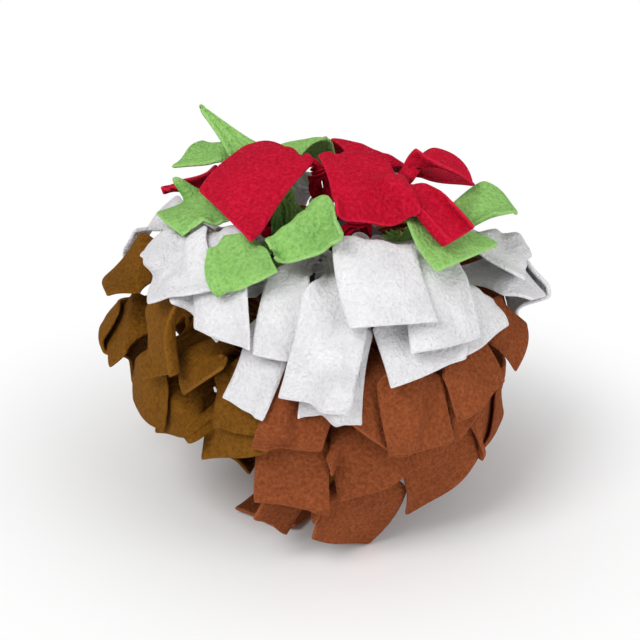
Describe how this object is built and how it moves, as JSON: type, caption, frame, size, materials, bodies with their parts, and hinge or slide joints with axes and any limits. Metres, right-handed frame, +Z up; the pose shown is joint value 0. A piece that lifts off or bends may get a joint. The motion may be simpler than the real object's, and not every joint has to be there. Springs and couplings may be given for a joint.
{
  "type": "dog puzzle ball",
  "caption": "Treat-foraging puzzle ball for a dog: fleece strips in five colours knotted round the struts of a hollow rubber lattice ball.",
  "frame": {"origin": "on the floor, below the middle of the toy's overall width and depth", "axes": "+Z up; -Y towards the viewer of the reference view, with +X on that viewer's right"},
  "size_m": [0.1778, 0.1646, 0.164],
  "materials": {
    "rubber": "matte moulded rubber",
    "red_fleece": "brushed fleece, red",
    "green_fleece": "brushed fleece, light green",
    "white_fleece": "brushed fleece, white",
    "ochre_fleece": "brushed fleece, ochre brown",
    "rust_fleece": "brushed fleece, rust brown"
  },
  "bodies": {
    "ball": {"green_strip_1": "green_fleece", "green_strip_2": "green_fleece", "green_strip_3": "green_fleece", "green_strip_4": "green_fleece", "lattice_ball": "rubber", "ochre_strip_1": "ochre_fleece", "ochre_strip_2": "ochre_fleece", "ochre_strip_3": "ochre_fleece", "ochre_strip_4": "ochre_fleece", "ochre_strip_5": "ochre_fleece", "ochre_strip_6": "ochre_fleece", "ochre_strip_7": "ochre_fleece", "ochre_strip_8": "ochre_fleece", "ochre_strip_9": "ochre_fleece", "red_strip_1": "red_fleece", "red_strip_2": "red_fleece", "red_strip_3": "red_fleece", "red_strip_4": "red_fleece", "rust_strip_1": "rust_fleece", "rust_strip_10": "rust_fleece", "rust_strip_11": "rust_fleece", "rust_strip_12": "rust_fleece", "rust_strip_13": "rust_fleece", "rust_strip_14": "rust_fleece", "rust_strip_2": "rust_fleece", "rust_strip_3": "rust_fleece", "rust_strip_4": "rust_fleece", "rust_strip_5": "rust_fleece", "rust_strip_6": "rust_fleece", "rust_strip_7": "rust_fleece", "rust_strip_8": "rust_fleece", "rust_strip_9": "rust_fleece", "white_strip_1": "white_fleece", "white_strip_10": "white_fleece", "white_strip_11": "white_fleece", "white_strip_2": "white_fleece", "white_strip_3": "white_fleece", "white_strip_4": "white_fleece", "white_strip_5": "white_fleece", "white_strip_6": "white_fleece", "white_strip_7": "white_fleece", "white_strip_8": "white_fleece", "white_strip_9": "white_fleece"},
    "white_strip_6_flap_b": {"white_strip_6_flap_b": "white_fleece"},
    "white_strip_8_flap_b": {"white_strip_8_flap_b": "white_fleece"},
    "green_strip_3_flap_b": {"green_strip_3_flap_b": "green_fleece"},
    "white_strip_7_flap_b": {"white_strip_7_flap_b": "white_fleece"},
    "red_strip_4_flap_a": {"red_strip_4_flap_a": "red_fleece"},
    "red_strip_4_flap_b": {"red_strip_4_flap_b": "red_fleece"}
  },
  "joints": [
    {"name": "white_strip_6_hinge_b", "type": "hinge", "parent": "ball", "child": "white_strip_6_flap_b", "pos_m": [0.00482, -0.0682, 0.10468], "axis": [-0.9794, 0.0321, 0.1992], "range_deg": [0, 60]},
    {"name": "white_strip_8_hinge_b", "type": "hinge", "parent": "ball", "child": "white_strip_8_flap_b", "pos_m": [0.02078, -0.05649, 0.11976], "axis": [-0.9596, -0.2791, 0.0357], "range_deg": [0, 60]},
    {"name": "green_strip_3_hinge_b", "type": "hinge", "parent": "ball", "child": "green_strip_3_flap_b", "pos_m": [0.06336, -0.01263, 0.12291], "axis": [-0.2659, -0.9639, 0.0163], "range_deg": [0, 60]},
    {"name": "white_strip_7_hinge_b", "type": "hinge", "parent": "ball", "child": "white_strip_7_flap_b", "pos_m": [-0.06489, -0.02963, 0.12025], "axis": [-0.5862, 0.7307, -0.3498], "range_deg": [0, 60]},
    {"name": "red_strip_4_hinge_a", "type": "hinge", "parent": "ball", "child": "red_strip_4_flap_a", "pos_m": [-0.02424, -0.01858, 0.14739], "axis": [-0.79, 0.6044, -0.1027], "range_deg": [0, 60]},
    {"name": "red_strip_4_hinge_b", "type": "hinge", "parent": "ball", "child": "red_strip_4_flap_b", "pos_m": [0.01584, -0.02421, 0.14607], "axis": [-0.9665, -0.2343, 0.1044], "range_deg": [0, 60]}
  ]
}
